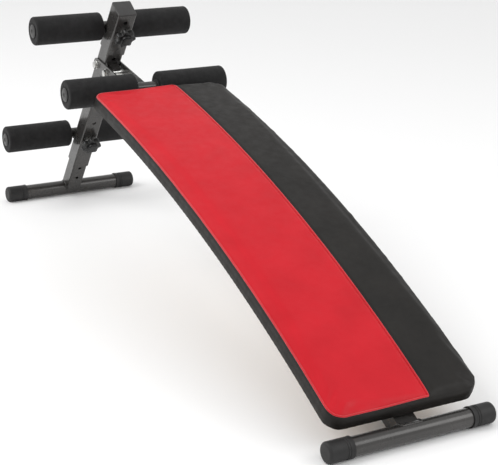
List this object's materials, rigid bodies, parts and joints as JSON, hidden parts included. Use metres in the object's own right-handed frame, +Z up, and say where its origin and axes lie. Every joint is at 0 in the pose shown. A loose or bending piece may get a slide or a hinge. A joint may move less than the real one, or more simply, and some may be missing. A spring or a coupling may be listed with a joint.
{
  "type": "decline sit-up bench",
  "caption": "Curved padded board on one rail, set on a low front foot and a leaning, folding rear post with telescoping leg, sliding head and pairs of foam leg rollers.",
  "frame": {"origin": "On the floor, centred under the object's bounding box, midway between the two feet", "axes": "+X is the width, +Y runs from the low front foot to the rear foot, +Z is up"},
  "size_m": [0.4266, 1.7092, 0.6067],
  "materials": {
    "frame_paint": "gloss",
    "cap_rubber": "matte",
    "black_plastic": "satin",
    "grey_plastic": "satin",
    "zinc": "bright zinc plate",
    "knob_plastic": "satin",
    "board_wood": "raw plywood",
    "pad_vinyl": "red and black vinyl",
    "roller_foam": "closed-cell foam"
  },
  "bodies": {
    "frame": {"main_rail": "frame_paint", "rail_plug": "black_plastic", "bracket_left": "frame_paint", "bracket_right": "frame_paint", "front_foot_bar": "frame_paint", "front_cap_left": "cap_rubber", "front_cap_right": "cap_rubber", "rear_cross_bar": "frame_paint", "middle_cross_bar": "frame_paint", "front_cross_bar": "frame_paint", "pad_board": "board_wood", "pad_cushion": "pad_vinyl", "pad_screws": "zinc", "middle_saddle": "frame_paint", "middle_axle": "frame_paint", "middle_collars": "black_plastic", "middle_plugs": "grey_plastic", "stop_bolt": "zinc", "stop_nut": "zinc", "stop_spacer": "zinc", "pivot_bolt": "zinc", "pivot_nut": "zinc"},
    "post": {"post_tube": "frame_paint", "post_plug": "black_plastic", "pivot_bush": "black_plastic", "stop_lug": "frame_paint", "lower_saddle": "frame_paint", "lower_axle": "frame_paint", "lower_collars": "black_plastic", "lower_plugs": "grey_plastic", "lower_boss": "zinc"},
    "leg": {"leg_tube": "frame_paint", "leg_plug": "black_plastic", "rear_foot_bar": "frame_paint", "rear_cap_left": "cap_rubber", "rear_cap_right": "cap_rubber"},
    "head": {"head_sleeve": "frame_paint", "head_cap": "grey_plastic", "top_boss": "zinc", "top_saddle": "frame_paint", "top_axle": "frame_paint", "top_collars": "black_plastic", "top_plugs": "grey_plastic"},
    "top_screw": {"top_stud": "zinc"},
    "top_knob": {"top_knob": "knob_plastic"},
    "lower_screw": {"lower_stud": "zinc"},
    "lower_knob": {"lower_knob": "knob_plastic"},
    "top_left_roller": {"top_left_foam": "roller_foam", "top_left_core": "black_plastic"},
    "top_right_roller": {"top_right_foam": "roller_foam", "top_right_core": "black_plastic"},
    "middle_left_roller": {"middle_left_foam": "roller_foam", "middle_left_core": "black_plastic"},
    "middle_right_roller": {"middle_right_foam": "roller_foam", "middle_right_core": "black_plastic"},
    "lower_left_roller": {"lower_left_foam": "roller_foam", "lower_left_core": "black_plastic"},
    "lower_right_roller": {"lower_right_foam": "roller_foam", "lower_right_core": "black_plastic"}
  },
  "joints": [
    {"name": "post_fold", "type": "hinge", "parent": "frame", "child": "post", "pos_m": [0, 0.57352, 0.42721], "axis": [-1, 0, 0], "range_deg": [0, 70]},
    {"name": "leg_slide", "type": "slide", "parent": "post", "child": "leg", "axis": [0, 0.5519, -0.8339], "range_m": [-0.05, 0.075]},
    {"name": "head_slide", "type": "slide", "parent": "post", "child": "head", "axis": [0, -0.5519, 0.8339], "range_m": [-0.02, 0.06]},
    {"name": "top_screw_advance", "type": "slide", "parent": "head", "child": "top_screw", "axis": [0, -0.8339, -0.5519], "range_m": [0, 0.00225]},
    {"name": "top_knob_turn", "type": "hinge", "parent": "top_screw", "child": "top_knob", "pos_m": [0, 0.4604, 0.52383], "axis": [0, -0.8339, -0.5519], "range_deg": [0, 540]},
    {"name": "lower_screw_advance", "type": "slide", "parent": "post", "child": "lower_screw", "axis": [0, -0.8339, -0.5519], "range_m": [0, 0.00225]},
    {"name": "lower_knob_turn", "type": "hinge", "parent": "lower_screw", "child": "lower_knob", "pos_m": [0, 0.68626, 0.18712], "axis": [0, -0.8339, -0.5519], "range_deg": [0, 540]},
    {"name": "top_left_roller_spin", "type": "hinge", "parent": "head", "child": "top_left_roller", "pos_m": [-0.12, 0.53796, 0.53439], "axis": [1, 0, 0], "continuous": true},
    {"name": "top_right_roller_spin", "type": "hinge", "parent": "head", "child": "top_right_roller", "pos_m": [0.12, 0.53796, 0.53439], "axis": [1, 0, 0], "continuous": true},
    {"name": "middle_left_roller_spin", "type": "hinge", "parent": "frame", "child": "middle_left_roller", "pos_m": [-0.12, 0.33223, 0.41957], "axis": [1, 0, 0], "continuous": true},
    {"name": "middle_right_roller_spin", "type": "hinge", "parent": "frame", "child": "middle_right_roller", "pos_m": [0.12, 0.33223, 0.41957], "axis": [1, 0, 0], "continuous": true},
    {"name": "lower_left_roller_spin", "type": "hinge", "parent": "post", "child": "lower_left_roller", "pos_m": [-0.12, 0.76465, 0.19823], "axis": [1, 0, 0], "continuous": true},
    {"name": "lower_right_roller_spin", "type": "hinge", "parent": "post", "child": "lower_right_roller", "pos_m": [0.12, 0.76465, 0.19823], "axis": [1, 0, 0], "continuous": true}
  ],
  "couplings": [
    {"joint": "top_knob_turn", "follows": "top_screw_advance", "rad_per_m": 4188.8},
    {"joint": "lower_knob_turn", "follows": "lower_screw_advance", "rad_per_m": 4188.8}
  ]
}
